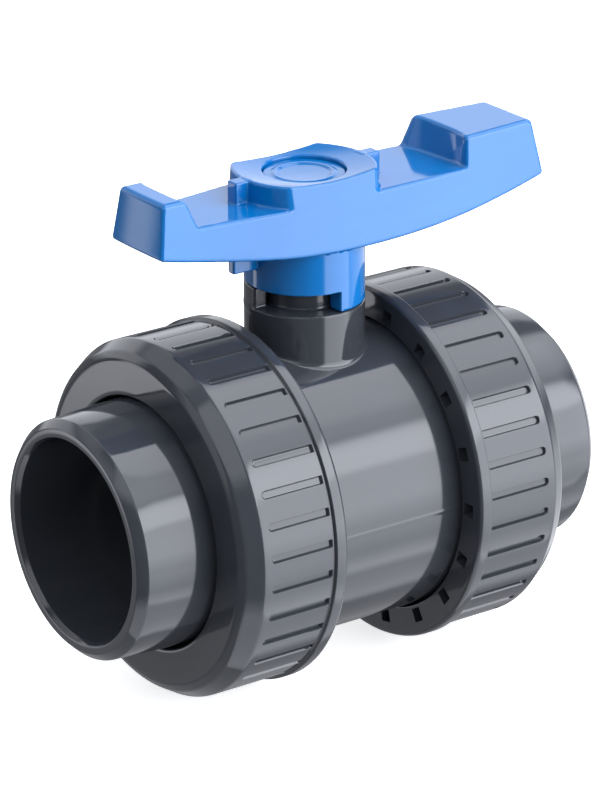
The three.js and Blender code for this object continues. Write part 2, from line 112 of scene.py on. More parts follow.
# seat carrier
CARRIER_R = 40.6
CARRIER_IN = 18.8
CARRIER_OUT = 43.2
CARRIER_GROOVE = 25.8
CARRIER_GROOVE_HALF = 1.6
CARRIER_GROOVE_DEPTH = 3.4
CARRIER_RING_T = 1.25
NOTCH_WIDTH = 3.8
NOTCH_REACH = 28.6
NOTCH_DEPTH = 6.6

# threads
PITCH = 6.0
THREAD_START = 29.4
THREAD_MINOR_R = 44.4
THREAD_CREST_R = 46.8
THREAD_MIDDLE = 35.4
THREAD_HALF = 7.4
NUT_ROOT_R = 47.3
NUT_CREST_R = 45.2
NUT_THREAD_MIDDLE = 36.0
NUT_THREAD_HALF = 7.6

# nuts: grips round the band, pockets in the rear face
NUT_HOLE_R = 39.65
NUT_BAND_R = 56.25
GRIPS = 36
GRIP_START = 5.1
GRIP_REACH = 52.0
GRIP_DEPTH = 1.1
GRIP_HALF = 1.15
GRIP_FLANK = 0.34
POCKETS = 18
POCKET_R = 50.9
POCKET_HALF = 2.1
POCKET_DEPTH = 6.5
POCKET_FLANK = 0.2

# neck and stem
NECK_R = 18.62
NECK_FLOOR = 60.0
STOP_WALL_IN = 14.0
COLLAR_TUBE_R = 12.2
STEM_BORE_R = 9.35
STEM_R = 9.0
STEM_COLLAR_R = 13.0
STEM_SHELF = 43.8
STEM_FOOT = 38.2
STEM_TOP = 92.0
TANG_X = 10.0
TANG_BOTTOM = 29.9
SQUARE = 12.4
STEM_GROOVES = (49.0, 55.0)
STEM_GROOVE_HALF = 1.4
STEM_GROOVE_R = 6.75
STEM_RING_R = 8.05
STEM_RING_T = 1.15
WASHER_T = 1.2

# handle: boss with its dish, ribs beside it, finger flats, blocks at the ends
SKIRT_BOTTOM = NECK_TOP + GAP
BOSS_R = 22.8
BOSS_DRAFT = 0.06
DISH_LOW = 100.7
DISH_R = 124.0
DISH_REACH = 38.0
RIB_X = 26.9
RIB_HALF = 2.4
RIB_TOP = 102.4
FLOOR_Z = 95.6
BLOCK_X = 51.5
LEFT_BLOCK_DROP = 0.6
SCOOP = 1.0
SCOOP_HALF = 12.0
LEAN = 2.4
LEAN_TWIST = 1.4
END_LEAN_FROM = 88.0
LEFT_END_LEAN = 0.14
RIGHT_END_LEAN = 0.21
SIDE_DRAFT = 0.009
ARC_R = 330.0
ARC_X = 12.0
ARC_BOTTOM = 79.5
WALL = 3.4
ARM_RIBS = (-47, -34, 34, 49, 64)
ARM_RIB_HALF = 1.2
LUG_TURN = math.radians(1)
KEY_X = 27.4
KEY_HALF = 1.6
KEY_BOTTOM = 73.2
KEY_TOP = 88.0
SQUARE_HOLE_HALF = 6.5
CAP_R = 12.6
CAP_SEAT = 98.4
CAP_TOP = 100.4
CAP_PIN_R = 3.7
CAP_PIN_LENGTH = 2.6

# half widths of the handle's bar along X, seen from above
BAR_PLAN = np.array([
    (BAR_LEFT, 12.7),
    (-48.0, 12.9),
    (-36.0, 13.8),
    (-26.0, 15.1),
    (-16.0, 16.3),
    (0.0, 16.9),
    (17.0, 16.7),
    (34.0, 16.3),
    (48.0, 15.6),
    (64.0, 14.3),
    (BAR_RIGHT, 12.7),
])

# heights safely below and above every cut in the handle, and a depth safely inside it
BELOW = 50.0
ABOVE = 120.0
INSIDE = -20.0

# ------------------------------------------------------------------ finishes

SHARP_ANGLE = math.radians(38)
PLASTIC_ROUGHNESS = 0.08
PLASTIC_IOR = 1.52
MOST_RUBBED = 0.05
GREY_DARK = (0.036, 0.040, 0.048)
GREY_LIGHT = (0.042, 0.046, 0.055)
GREY_RUBBED = (0.10, 0.11, 0.12)
BLUE_DARK = (0.001, 0.132, 0.400)
BLUE_LIGHT = (0.002, 0.146, 0.440)
BLUE_RUBBED = (0.03, 0.22, 0.62)
RUBBER_DARK = (0.012, 0.012, 0.013)
RUBBER_LIGHT = (0.03, 0.03, 0.031)
SEAT_DARK = (0.78, 0.77, 0.72)
SEAT_LIGHT = (0.88, 0.87, 0.84)

# ------------------------------------------------------------------ light and camera

# Softboxes and screens round the object, in degrees of heading and height: from, to, low, high,
# softness of the edges and brightness.
GLOWS = (
    (-87, -32, -46, 36, 2, 2.2),
    (-87, -32, -28, 36, 6, 1.1),
    (-87, -33, -12, 36, 6, 1.7),
    (-87, -34, 18, 36, 2, 2.4),
    (-85, 24, 38, 85, 4, 2.7),
    (-40, 14, 47, 75, 3, 1.0),
    (-30, 36, -40, -8, 5, 1.4),
    (0, 128, 1, 31, 3, 1.4),
    (121, 131, -22, -16, 1, 2.0),
    (124, 131, -16, -3, 1, 2.0),
    (150, 184, 0, 45, 5, 0.8),
    (60, 150, 34, 70, 6, 0.8),
    (100, 140, -34, -22, 3, 0.35),
    (-178, -118, 30, 72, 5, 1.5),
    (-200, 0, -90, -42, 6, 1.5),
    (0, 200, -90, -38, 6, 0.3),
)
AMBIENT = 0.24
OVERHEAD = 0.6
OVERHEAD_FROM = 60
OVERHEAD_FULL = 80
LIGHT_COLOR = (0.96, 0.985, 1.05)
FLOOR_GREY = 0.85
FLOOR_GLOW = 0.72
FLOOR_SIZE_M = 14

CAMERA_AZIMUTH = math.radians(-35.66)
CAMERA_ELEVATION = math.radians(21.44)
CAMERA_ROLL = math.radians(-0.157)
CAMERA_DISTANCE_M = 1.39555
CAMERA_AIM_M = Vector((-0.001772, 0.0, 0.026369))
CAMERA_LENS = 203.25
CAMERA_SENSOR = 36

# ------------------------------------------------------------------ meshes


def add_piece(name, mesh_mm, slot, body, node, normals=None):
    """A piece in the frame from (verts in millimetres, faces as rows of corner numbers)."""
    verts, faces = mesh_mm
    mesh = bpy.data.meshes.new(name)
    mesh.from_pydata((np.asarray(verts, float) * MM).tolist(), [], np.asarray(faces).tolist())
    mesh.validate()
    mesh.polygons.foreach_set("use_smooth", np.ones(len(mesh.polygons), bool))
    if normals is None:
        mesh.set_sharp_from_angle(angle=SHARP_ANGLE)
    else:
        mesh.normals_split_custom_set_from_vertices(normals.tolist())
    mesh.materials.append(finishes[slot])
    piece = bpy.data.objects.new(name, mesh)
    bpy.context.scene.collection.objects.link(piece)
    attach(piece, body)
    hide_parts(node)


def fillet(here, before, after, radius):
    """Points round the corner at here, between the steps to the corners before and after it."""
    to_before = before / np.linalg.norm(before)
    to_after = after / np.linalg.norm(after)
    half = math.acos(float(np.clip(to_before @ to_after, -1, 1))) / 2
    if radius <= 0 or half > math.radians(89):
        return [here]
    room = 0.49 * min(np.linalg.norm(before), np.linalg.norm(after))
    reach = min(radius / math.tan(half), room)
    radius = reach * math.tan(half)
    middle = to_before + to_after
    centre = here + middle / np.linalg.norm(middle) * radius / math.sin(half)
    start = here + to_before * reach - centre
    end = here + to_after * reach - centre
    turn = math.pi - 2 * half
    steps = max(2, int(math.ceil(turn / math.radians(15))))
    points = []
    for k in range(steps + 1):
        a = math.sin((1 - k / steps) * turn) / math.sin(turn)
        b = math.sin(k / steps * turn) / math.sin(turn)
        points.append(centre + a * start + b * end)
    return points


def rounded(profile):
    """Profile corners (radius, along, fillet) as a smooth closed line of (radius, along) points."""
    corners = [np.array(p[:2], float) for p in profile]
    radii = [p[2] if len(p) > 2 else 0.0 for p in profile]
    count = len(corners)
    line = []
    for i, here in enumerate(corners):
        before = corners[i - 1] - here
        after = corners[(i + 1) % count] - here
        line.extend(fillet(here, before, after, radii[i]))
    return np.array(line)


def subdivided(line, longest):
    """A closed line with extra points, so that no stretch is longer than the given length."""
    result = []
    for i, here in enumerate(line):
        there = line[(i + 1) % len(line)]
        steps = max(1, int(math.ceil(np.linalg.norm(there - here) / longest)))
        result.extend(here + (there - here) * k / steps for k in range(steps))
    return np.array(result)


def ring_line(radius, section, along, steps=16):
    """The round section of an O-ring."""
    a = even_angles(steps)
    return np.stack([radius + section * np.cos(a), along + section * np.sin(a)], -1)


def turned(line, angles, shape=None):
    """Closed (radius, along) line turned about the pipe axis.

    shape(radius, along, angle) may move the points.
    """
    radius, angle = np.meshgrid(line[:, 0], angles, indexing="ij")
    along = np.repeat(line[:, 1:2], len(angles), axis=1)
    if shape:
        radius, along = shape(radius, along, angle)
    verts = np.stack([along, radius * np.cos(angle), radius * np.sin(angle)], -1).reshape(-1, 3)
    rows, columns = len(line), len(angles)
    i, j = np.meshgrid(np.arange(rows), np.arange(columns), indexing="ij")
    row, next_row = i * columns, (i + 1) % rows * columns
    next_j = (j + 1) % columns
    faces = np.stack([row + j, next_row + j, next_row + next_j, row + next_j], -1).reshape(-1, 4)
    return verts, outward(verts, faces)


def outward(verts, faces):
    """Faces turned over if they enclose a negative volume."""
    a, b, c, d = (verts[faces[:, k]] for k in range(4))
    volume = np.einsum("ij,ij->", a, np.cross(b, c)) + np.einsum("ij,ij->", a, np.cross(c, d))
    return faces[:, ::-1] if volume < 0 else faces


def even_angles(count):
    return np.arange(count) * 2 * math.pi / count


def side_turned(mesh, side):
    """The inlet's copy of an outlet piece is turned half round about the stem axis."""
    verts, faces = mesh
    return verts * np.array([side, side, 1.0]), faces


def upright(mesh):
    """A piece turned about the pipe axis, stood up on the stem axis."""
    verts, faces = mesh
    return np.stack([verts[:, 1], verts[:, 2], verts[:, 0]], -1), faces


# ------------------------------------------------------------------ solid fields: negative inside


def meet(a, b, r):
    """What a and b share, with its edge rounded to r."""
    u = np.maximum(r + a, 0)
    v = np.maximum(r + b, 0)
    return np.minimum(-r, np.maximum(a, b)) + np.hypot(u, v)


def join(a, b, r):
    """a and b together, with a fillet of radius r between them."""
    return -meet(-a, -b, r)


def cut(a, b, r):
    """a with b taken away, and the new edge rounded to r."""
    return meet(a, -b, r)


def slab(v, low, high):
    return np.maximum(low - v, v - high)


def brick(x, y, z, x0, x1, y0, y1, z0, z1, r=0.2):
    return meet(meet(slab(x, x0, x1), slab(y, y0, y1), r), slab(z, z0, z1), r)


def rod(radial, along, radius, low, high, r=0.3):
    return meet(radial - radius, slab(along, low, high), r)


def bump(v, half, soft):
    """1 within half of zero and 0 beyond, with soft shoulders."""
    t = np.clip((half + soft / 2 - np.abs(v)) / soft, 0, 1)
    return t * t * (3 - 2 * t)


def thread_wave(x, angle, start, crest_half, root_half):
    """How far up the ridge's flank a point lies, from 0 in the groove to 1 on the crest."""
    phase = (x - start - PITCH * angle / (2 * math.pi)) / PITCH
    off = np.abs(phase - np.round(phase)) * PITCH
    return np.clip((root_half - off) / (root_half - crest_half), 0, 1)


def sampled(field, points, eps=0.04):
    """The field's value and slope at points."""
    x, y, z = points.T
    value = field(x, y, z)
    slope = np.stack([
        field(x + eps, y, z) - field(x - eps, y, z),
        field(x, y + eps, z) - field(x, y - eps, z),
        field(x, y, z + eps) - field(x, y, z - eps),
    ], -1) / (2 * eps)
    return value, slope


def cell_points(values, inside):
    """One point in each grid cell that the surface crosses, and the cells' own numbers."""
    cells = tuple(s - 1 for s in values.shape)

    def corner(array, i, j, k):
        return array[i:i + cells[0], j:j + cells[1], k:k + cells[2]]

    corners = [(i, j, k) for i in (0, 1) for j in (0, 1) for k in (0, 1)]
    filled = sum(corner(inside, *c).astype(np.int8) for c in corners)
    active = (filled > 0) & (filled < 8)
    where = np.argwhere(active)
    number = np.full(cells, -1, np.int64)
    number[active] = np.arange(len(where))
    total = np.zeros((len(where), 3))
    hits = np.zeros(len(where))
    for a in corners:
        for axis in range(3):
            if a[axis]:
                continue
            b = tuple(1 if k == axis else a[k] for k in range(3))
            fa = corner(values, *a)[active].astype(float)
            fb = corner(values, *b)[active].astype(float)
            crossing = (fa < 0) != (fb < 0)
            t = np.where(crossing, fa / np.where(crossing, fa - fb, 1), 0)
            point = np.array(a, float) + np.outer(t, np.eye(3)[axis])
            total += point * crossing[:, None]
            hits += crossing
    return where + total / hits[:, None], number


def cell_quads(inside, number):
    """A quad round each grid edge that the surface crosses, facing out."""
    cells = number.shape
    quads = []
    for axis in range(3):
        u, v = (axis + 1) % 3, (axis + 2) % 3
        low_end = [slice(None)] * 3
        high_end = [slice(None)] * 3
        low_end[axis] = slice(0, -1)
        high_end[axis] = slice(1, None)
        edges = np.argwhere(inside[tuple(low_end)] != inside[tuple(high_end)])
        edges = edges[(edges[:, u] > 0) & (edges[:, v] > 0)]
        edges = edges[(edges[:, u] < cells[u]) & (edges[:, v] < cells[v])]
        around = []
        for du, dv in ((-1, -1), (0, -1), (0, 0), (-1, 0)):
            cell = edges.copy()
            cell[:, u] += du
            cell[:, v] += dv
            around.append(number[cell[:, 0], cell[:, 1], cell[:, 2]])
        quad = np.stack(around, -1)
        starts_inside = inside[edges[:, 0], edges[:, 1], edges[:, 2]]
        quad[~starts_inside] = quad[~starts_inside][:, ::-1]
        quads.append(quad)
    return np.concatenate(quads)


def surface(field, low, high, step):
    """Verts, quads and normals of the surface where the field is zero."""
    axes = [np.arange(a, b + step, step) for a, b in zip(low, high)]
    x, y, z = np.meshgrid(*axes, indexing="ij", sparse=True)
    values = np.broadcast_to(field(x, y, z), tuple(len(a) for a in axes)).astype(np.float32)
    inside = values < 0
    places, number = cell_points(values, inside)
    faces = cell_quads(inside, number)
    verts = np.array([a[0] for a in axes]) + places * step
    reach = 0.5 * step
    for _ in range(4):
        value, slope = sampled(field, verts)
        move = -value[:, None] * slope / np.maximum((slope ** 2).sum(1), 1e-6)[:, None]
        length = np.linalg.norm(move, axis=1)
        verts = verts + move * np.minimum(1, reach / np.maximum(length, 1e-9))[:, None]
    slope = sampled(field, verts)[1]
    normals = slope / np.maximum(np.linalg.norm(slope, axis=1), 1e-9)[:, None]
    return verts, faces, normals


def add_surface(name, field, low, high, step, slot, body, node):
    verts, faces, normals = surface(field, low, high, step)
    add_piece(name, (verts, faces), slot, body, node, normals)


# ------------------------------------------------------------------ materials


def new_material(name):
    material = bpy.data.materials.new(name)
    material.use_nodes = True
    tree = material.node_tree
    return material, tree, tree.nodes["Principled BSDF"]


def object_place(tree):
    return tree.nodes.new("ShaderNodeTexCoord").outputs["Object"]


def stretched(tree, vector, scale, turn=(0, 0, 0)):
    node = tree.nodes.new("ShaderNodeMapping")
    node.inputs["Rotation"].default_value = turn
    node.inputs["Scale"].default_value = scale
    tree.links.new(vector, node.inputs["Vector"])
    return node.outputs["Vector"]


def noise(tree, scale, detail, vector):
    node = tree.nodes.new("ShaderNodeTexNoise")
    node.inputs["Scale"].default_value = scale
    node.inputs["Detail"].default_value = detail
    tree.links.new(vector, node.inputs["Vector"])
    return node.outputs["Fac"]


def ramp(tree, value, stops):
    node = tree.nodes.new("ShaderNodeValToRGB")
    elements = node.color_ramp.elements
    for element, (position, color) in zip(elements, stops):
        element.position = position
        element.color = (*color, 1)
    tree.links.new(value, node.inputs["Fac"])
    return node.outputs["Color"]


def remap(tree, value, from_low, from_high, to_low, to_high):
    node = tree.nodes.new("ShaderNodeMapRange")
    node.inputs["From Min"].default_value = from_low
    node.inputs["From Max"].default_value = from_high
    node.inputs["To Min"].default_value = to_low
    node.inputs["To Max"].default_value = to_high
    tree.links.new(value, node.inputs["Value"])
    return node.outputs["Result"]


def math_node(tree, operation, a, b):
    node = tree.nodes.new("ShaderNodeMath")
    node.operation = operation
    for socket, value in zip(node.inputs, (a, b)):
        if isinstance(value, (int, float)):
            socket.default_value = value
        else:
            tree.links.new(value, socket)
    return node.outputs["Value"]


def times(tree, a, b):
    return math_node(tree, "MULTIPLY", a, b)


def plus(tree, a, b):
    return math_node(tree, "ADD", a, b)


def mixed(tree, factor, a, color):
    node = tree.nodes.new("ShaderNodeMix")
    node.data_type = "RGBA"
    tree.links.new(factor, node.inputs["Factor"])
    tree.links.new(a, node.inputs["A"])
    node.inputs["B"].default_value = (*color, 1)
    return node.outputs["Result"]


def bumped(tree, shader, heights):
    """Bump from (height, distance in metres, strength) layers, one over the other."""
    normal = None
    for height, distance, strength in heights:
        node = tree.nodes.new("ShaderNodeBump")
        node.inputs["Distance"].default_value = distance
        node.inputs["Strength"].default_value = strength
        tree.links.new(height, node.inputs["Height"])
        if normal:
            tree.links.new(normal, node.inputs["Normal"])
        normal = node.outputs["Normal"]
    tree.links.new(normal, shader.inputs["Normal"])


def moulded_plastic(name, dark, light, rubbed):
    """Glossy moulded plastic: faint flow marks, fine texture, rubbed edges and hairlines."""
    material, tree, shader = new_material(name)
    place = object_place(tree)
    cloud = noise(tree, 14, 3, place)
    flow = noise(tree, 3, 4, stretched(tree, place, (9, 60, 60)))
    tone = plus(tree, times(tree, cloud, 0.6), times(tree, flow, 0.4))
    base = ramp(tree, tone, [(0.35, dark), (0.65, light)])
    edge = tree.nodes.new("ShaderNodeNewGeometry").outputs["Pointiness"]
    edge = remap(tree, edge, 0.54, 0.64, 0, MOST_RUBBED)
    worn = times(tree, edge, remap(tree, cloud, 0.35, 0.65, 0.2, 1))
    tree.links.new(mixed(tree, worn, base, rubbed), shader.inputs["Base Color"])
    hair = noise(tree, 2, 3, stretched(tree, place, (30, 900, 30), (0.3, 0.7, 0.2)))
    smears = remap(tree, cloud, 0.3, 0.7, PLASTIC_ROUGHNESS - 0.02, PLASTIC_ROUGHNESS + 0.03)
    hairlines = remap(tree, hair, 0.62, 0.75, 0, 0.04)
    tree.links.new(plus(tree, smears, hairlines), shader.inputs["Roughness"])
    shader.inputs["IOR"].default_value = PLASTIC_IOR
    ripple = noise(tree, 55, 2, place)
    grain = noise(tree, 2600, 2, place)
    bumped(tree, shader, [(ripple, 0.0006, 0.04), (grain, 0.00002, 0.12)])
    return material


def rubber_material():
    material, tree, shader = new_material("black_rubber")
    place = object_place(tree)
    cloud = noise(tree, 60, 2, place)
    color = ramp(tree, cloud, [(0.3, RUBBER_DARK), (0.7, RUBBER_LIGHT)])
    tree.links.new(color, shader.inputs["Base Color"])
    tree.links.new(remap(tree, cloud, 0.3, 0.7, 0.55, 0.72), shader.inputs["Roughness"])
    bumped(tree, shader, [(noise(tree, 1500, 3, place), 0.00005, 0.5)])
    return material


def seat_material():
    material, tree, shader = new_material("seat_white")
    place = object_place(tree)
    cloud = noise(tree, 40, 3, place)
    color = ramp(tree, cloud, [(0.3, SEAT_DARK), (0.7, SEAT_LIGHT)])
    tree.links.new(color, shader.inputs["Base Color"])
    tree.links.new(remap(tree, cloud, 0.3, 0.7, 0.42, 0.55), shader.inputs["Roughness"])
    shader.inputs["Subsurface Weight"].default_value = 0.15
    bumped(tree, shader, [(noise(tree, 900, 2, place), 0.00004, 0.4)])
    return material


# the material of each slot in the record
finishes = {
    "grey_pvc": moulded_plastic("grey_pvc", GREY_DARK, GREY_LIGHT, GREY_RUBBED),
    "blue_handle": moulded_plastic("blue_handle", BLUE_DARK, BLUE_LIGHT, BLUE_RUBBED),
    "black_rubber": rubber_material(),
    "seat_white": seat_material(),
}

# ------------------------------------------------------------------ body


def body_outside(x, y, z):
    """Barrel with a parting line along its sides, threaded sleeves at its ends, neck and stop wall."""
    round_x = np.hypot(y, z)
    round_z = np.hypot(x, y)
    side = np.where(x < 0, -1.0, 1.0)
    along = np.abs(x)
    helix = thread_wave(along, np.arctan2(z, side * y), THREAD_START, 1.0, 1.8)
    helix = helix * bump(along - THREAD_MIDDLE, THREAD_HALF, 1.2)
    sleeve_r = THREAD_MINOR_R + (THREAD_CREST_R - THREAD_MINOR_R) * helix
    sleeve = meet(round_x - sleeve_r, along - BODY_HALF, 0.8) * 0.7
    parting = PARTING_HEIGHT * np.maximum(1 - np.abs(z) / PARTING_HALF, 0)
    barrel = rod(round_x + PARTING_HEIGHT - parting, x, BODY_R, -BARREL_HALF, BARREL_HALF, 0.5)
    neck = rod(round_z, z, NECK_R, 38, NECK_FLOOR, 0.45)
    outer = join(join(barrel, sleeve, 0.4), neck, 1.3)
    tube = rod(round_z, z, COLLAR_TUBE_R, NECK_FLOOR - 2, NECK_TOP - 0.5, 0.5)
    wall = rod(round_z, z, NECK_R, NECK_FLOOR - 2, NECK_TOP, 0.4)
    wall = meet(wall, STOP_WALL_IN - round_z, 0.4)
    wall = meet(wall, -y, 0.4)
    return join(join(outer, tube, 0.6), wall, 0.5)


def body_inside(x, y, z):
    """The way through, the ball's cavity, the carrier's bore and the inlet seat's pocket."""
    round_x = np.hypot(y, z)
    flow = round_x - FLOW_R
    cavity = rod(round_x, x, CAVITY_R, -CAVITY_HALF, CAVITY_HALF, 0.8)
    carrier_bore = np.maximum(round_x - CARRIER_R - GAP, CAVITY_HALF - x)
    pocket = rod(round_x, x, SEAT_POCKET_R, -SEAT_BACK - GAP, -SEAT_FRONT + 3, 0.3)
    groove = seat_ring_groove(round_x, -x)
    return np.minimum(np.minimum(flow, cavity), np.minimum(carrier_bore, np.minimum(pocket, groove)))


def seat_ring_groove(round_x, along):
    """The groove behind a seat for its O-ring, with along measured outwards from the ball."""
    across = slab(round_x, SEAT_RING_R - SEAT_GROOVE_HALF, SEAT_RING_R + SEAT_GROOVE_HALF)
    return meet(across, slab(along, SEAT_BACK - 1, SEAT_BACK + SEAT_GROOVE_DEPTH), 0.3)


def body_field(x, y, z):
    round_z = np.hypot(x, y)
    stem_hole = rod(round_z, z, STEM_BORE_R, 28, NECK_TOP + 5)
    collar_hole = rod(round_z, z, STEM_COLLAR_R + 0.35, 28, STEM_SHELF)
    shell = cut(body_outside(x, y, z), body_inside(x, y, z), 0.35)
    return cut(shell, np.minimum(stem_hole, collar_hole), 0.3)


def add_body():
    low = (-BODY_HALF - 1.1, -BODY_R - 1.3, -BODY_R - 1.3)
    high = (BODY_HALF + 1.1, BODY_R + 1.3, NECK_TOP + 1.3)
    add_surface("body_moulding", body_field, low, high, 0.72, "grey_pvc", "valve", "valve_body")


# ------------------------------------------------------------------ handle


def catmull(points, count=40):
    """Points along the smooth curve through the given ones."""
    padded = np.vstack([points[:1], points, points[-1:]])
    t = np.linspace(0, 1, count, endpoint=False)[:, None]
    rows = []
    for a, b, c, d in zip(padded[:-3], padded[1:-2], padded[2:-1], padded[3:]):
        slope_b = (c - a) / 2
        slope_c = (d - b) / 2
        rows.append(b + slope_b * t + (3 * (c - b) - 2 * slope_b - slope_c) * t ** 2
                    + (2 * (b - c) + slope_b + slope_c) * t ** 3)
    return np.vstack(rows + [points[-1:]])


PLAN = catmull(BAR_PLAN)


def bar_width(x, z):
    """Half the width of the bar, a little narrower towards its top."""
    return np.interp(x, PLAN[:, 0], PLAN[:, 1]) * (1 - SIDE_DRAFT * (z - FLOOR_Z))


def underside(x):
    return ARC_BOTTOM + ARC_R - np.sqrt(ARC_R ** 2 - (x - ARC_X) ** 2)


def finger_walls(x, y, z):
    """Distance past the two blocks' inner walls: hollowed, and leaning more towards one side."""
    hollow = SCOOP * np.maximum(1 - (y / SCOOP_HALF) ** 4, 0)
    across = np.clip(np.sign(x) * y / SCOOP_HALF, -1, 1)
    rise = (z - BLOCK_Z) / (BLOCK_Z - FLOOR_Z)
    return np.abs(x) - BLOCK_X - hollow - rise * (LEAN + LEAN_TWIST * across)


def bar_outside(x, y, z):
    """The bar seen from outside: arched below, dished on top, with the finger flats cut in."""
    radial = np.hypot(x, y)
    side = (np.abs(y) - bar_width(x, z)) * 0.985
    bottom = underside(x) - z
    lean = np.maximum(z - END_LEAN_FROM, 0)
    left = (BAR_LEFT + 0.3 - x + LEFT_END_LEAN * lean + y * y / 500) * 0.99
    right = (x - BAR_RIGHT + RIGHT_END_LEAN * lean) * 0.98
    top = z - BLOCK_Z + np.where(x < 0, LEFT_BLOCK_DROP + 0.01 * (x + 62), 0.0)
    bar = meet(meet(side, bottom, 1.2), np.maximum(left, right), 1.1)
    bar = meet(bar, top, 1.5)
    dish = DISH_LOW + radial ** 2 / (2 * DISH_R)
    bar = meet(bar, np.where(np.abs(x) < DISH_REACH, z - dish, INSIDE), 0.7)
    boss = BOSS_R - BOSS_DRAFT * (z - FLOOR_Z) - radial
    space = meet(meet(FLOOR_Z - z, finger_walls(x, y, z), 1.0), boss, 0.8)
    bar = cut(bar, space, 1.0)
    ribs = brick(np.abs(x), y, z, BOSS_R - 2.5, RIB_X, -RIB_HALF, RIB_HALF, FLOOR_Z - 2, RIB_TOP, 0.5)
    return join(bar, ribs, 0.4)


def under_arms(x, y, z):
    """The hollows under the two arms, between their cross ribs."""
    inset = np.maximum(np.abs(y) - bar_width(x, z) + WALL, z - FLOOR_Z + WALL)
    ends = np.maximum(BAR_LEFT + WALL - x, x - BAR_RIGHT + WALL + 0.6)
    hollow = meet(meet(inset, ends, 1.5), NECK_R + 1 - np.abs(x), 1.0)
    for rib in ARM_RIBS:
        hollow = np.maximum(hollow, ARM_RIB_HALF - np.abs(x - rib))
    return hollow


def stop_lug(x, y, z):
    """The quarter of a ring below the skirt that meets the ends of the neck's stop wall."""
    radial = np.hypot(x, y)
    first = y * math.cos(-LUG_TURN) - x * math.sin(-LUG_TURN)
    turn = LUG_TURN - math.pi / 2
    second = x * math.sin(turn) - y * math.cos(turn)
    ring = rod(radial, z, NECK_R, LUG_BOTTOM, SKIRT_BOTTOM + 3, 0.4)
    ring = meet(ring, COLLAR_TUBE_R + 0.5 - radial, 0.3)
    return meet(ring, np.maximum(first, second), 0.35)


def handle_field(x, y, z):
    radial = np.hypot(x, y)
    bar = cut(bar_outside(x, y, z), under_arms(x, y, z), 0.7)
    hub = rod(radial, z, NECK_R, SKIRT_BOTTOM, ARC_BOTTOM + 1.5, 0.45)
    keys = brick(x, y, z, -KEY_X, KEY_X, -KEY_HALF, KEY_HALF, KEY_BOTTOM, KEY_TOP, 0.5)
    whole = np.minimum(np.minimum(bar, hub), np.minimum(keys, stop_lug(x, y, z)))
    half = SQUARE_HOLE_HALF
    hole = brick(x, y, z, -half, half, -half, half, BELOW, STEM_TOP + 1, 0.4)
    mouth = rod(radial, z, STEM_R + 0.4, BELOW, SKIRT_BOTTOM + 0.6, 0.2)
    cap_hole = rod(radial, z, CAP_R + 0.35, CAP_SEAT, ABOVE, 0.3)
    pin_hole = rod(radial, z, CAP_PIN_R + GAP, CAP_SEAT - 3, ABOVE, 0.3)
    return cut(cut(whole, np.minimum(hole, mouth), 0.3), np.minimum(cap_hole, pin_hole), 0.35)


def add_handle():
    low = (BAR_LEFT - 1.2, -21, LUG_BOTTOM - 1.2)
    high = (BAR_RIGHT + 1.2, 21, BLOCK_Z + 1.2)
    add_surface("handle_moulding", handle_field, low, high, 0.6, "blue_handle", "handle", "handle")


def add_cap():
    """The disc in the boss: dished like the boss round it, with a plain raised ring."""
    top = CAP_TOP - 0.45
    pin_end = CAP_SEAT - CAP_PIN_LENGTH
    line = rounded([
        (0.02, pin_end),
        (CAP_PIN_R, pin_end, 0.3),
        (CAP_PIN_R, CAP_SEAT + GAP, 0.2),
        (CAP_R, CAP_SEAT + GAP, 0.2),
        (CAP_R, top + 0.35, 0.35),
        (10.4, top + 0.2, 0.4),
        (9.4, top + 0.55, 0.3),
        (8.6, top + 0.5, 0.3),
        (7.8, top, 0.4),
        (0.02, top - 0.1),
    ])
    cap = upright(turned(line, even_angles(96)))
    add_piece("cap_moulding", cap, "blue_handle", "handle", "handle_cap")


# ------------------------------------------------------------------ ends and nuts


def end_line():
    """The section of a socket, with its collar and the face groove for the O-ring."""
    bottom = END_X - SOCKET_DEPTH
    groove = END_INNER + 2 * FACE_RING_T + 0.35
    return rounded([
        (FLOW_R, END_INNER, 0.5),
        (FACE_GROOVE_IN_R, END_INNER, 0.2),
        (FACE_GROOVE_IN_R, groove, 0.3),
        (FACE_GROOVE_OUT_R, groove, 0.3),
        (FACE_GROOVE_OUT_R, END_INNER, 0.2),
        (COLLAR_R, END_INNER, 0.8),
        (COLLAR_R, COLLAR_FRONT, 0.8),
        (SPIGOT_R, COLLAR_FRONT, 0.8),
        (MOUTH_R, END_X - 2.6, 1.1),
        (MOUTH_R - 2.5, END_X, 0.5),
        (PIPE_R + 0.9, END_X, 0.3),
        (PIPE_R, END_X - 1.6, 0.5),
        (PIPE_R - 0.15, bottom, 0.5),
        (FLOW_R, bottom, 0.6),
    ])


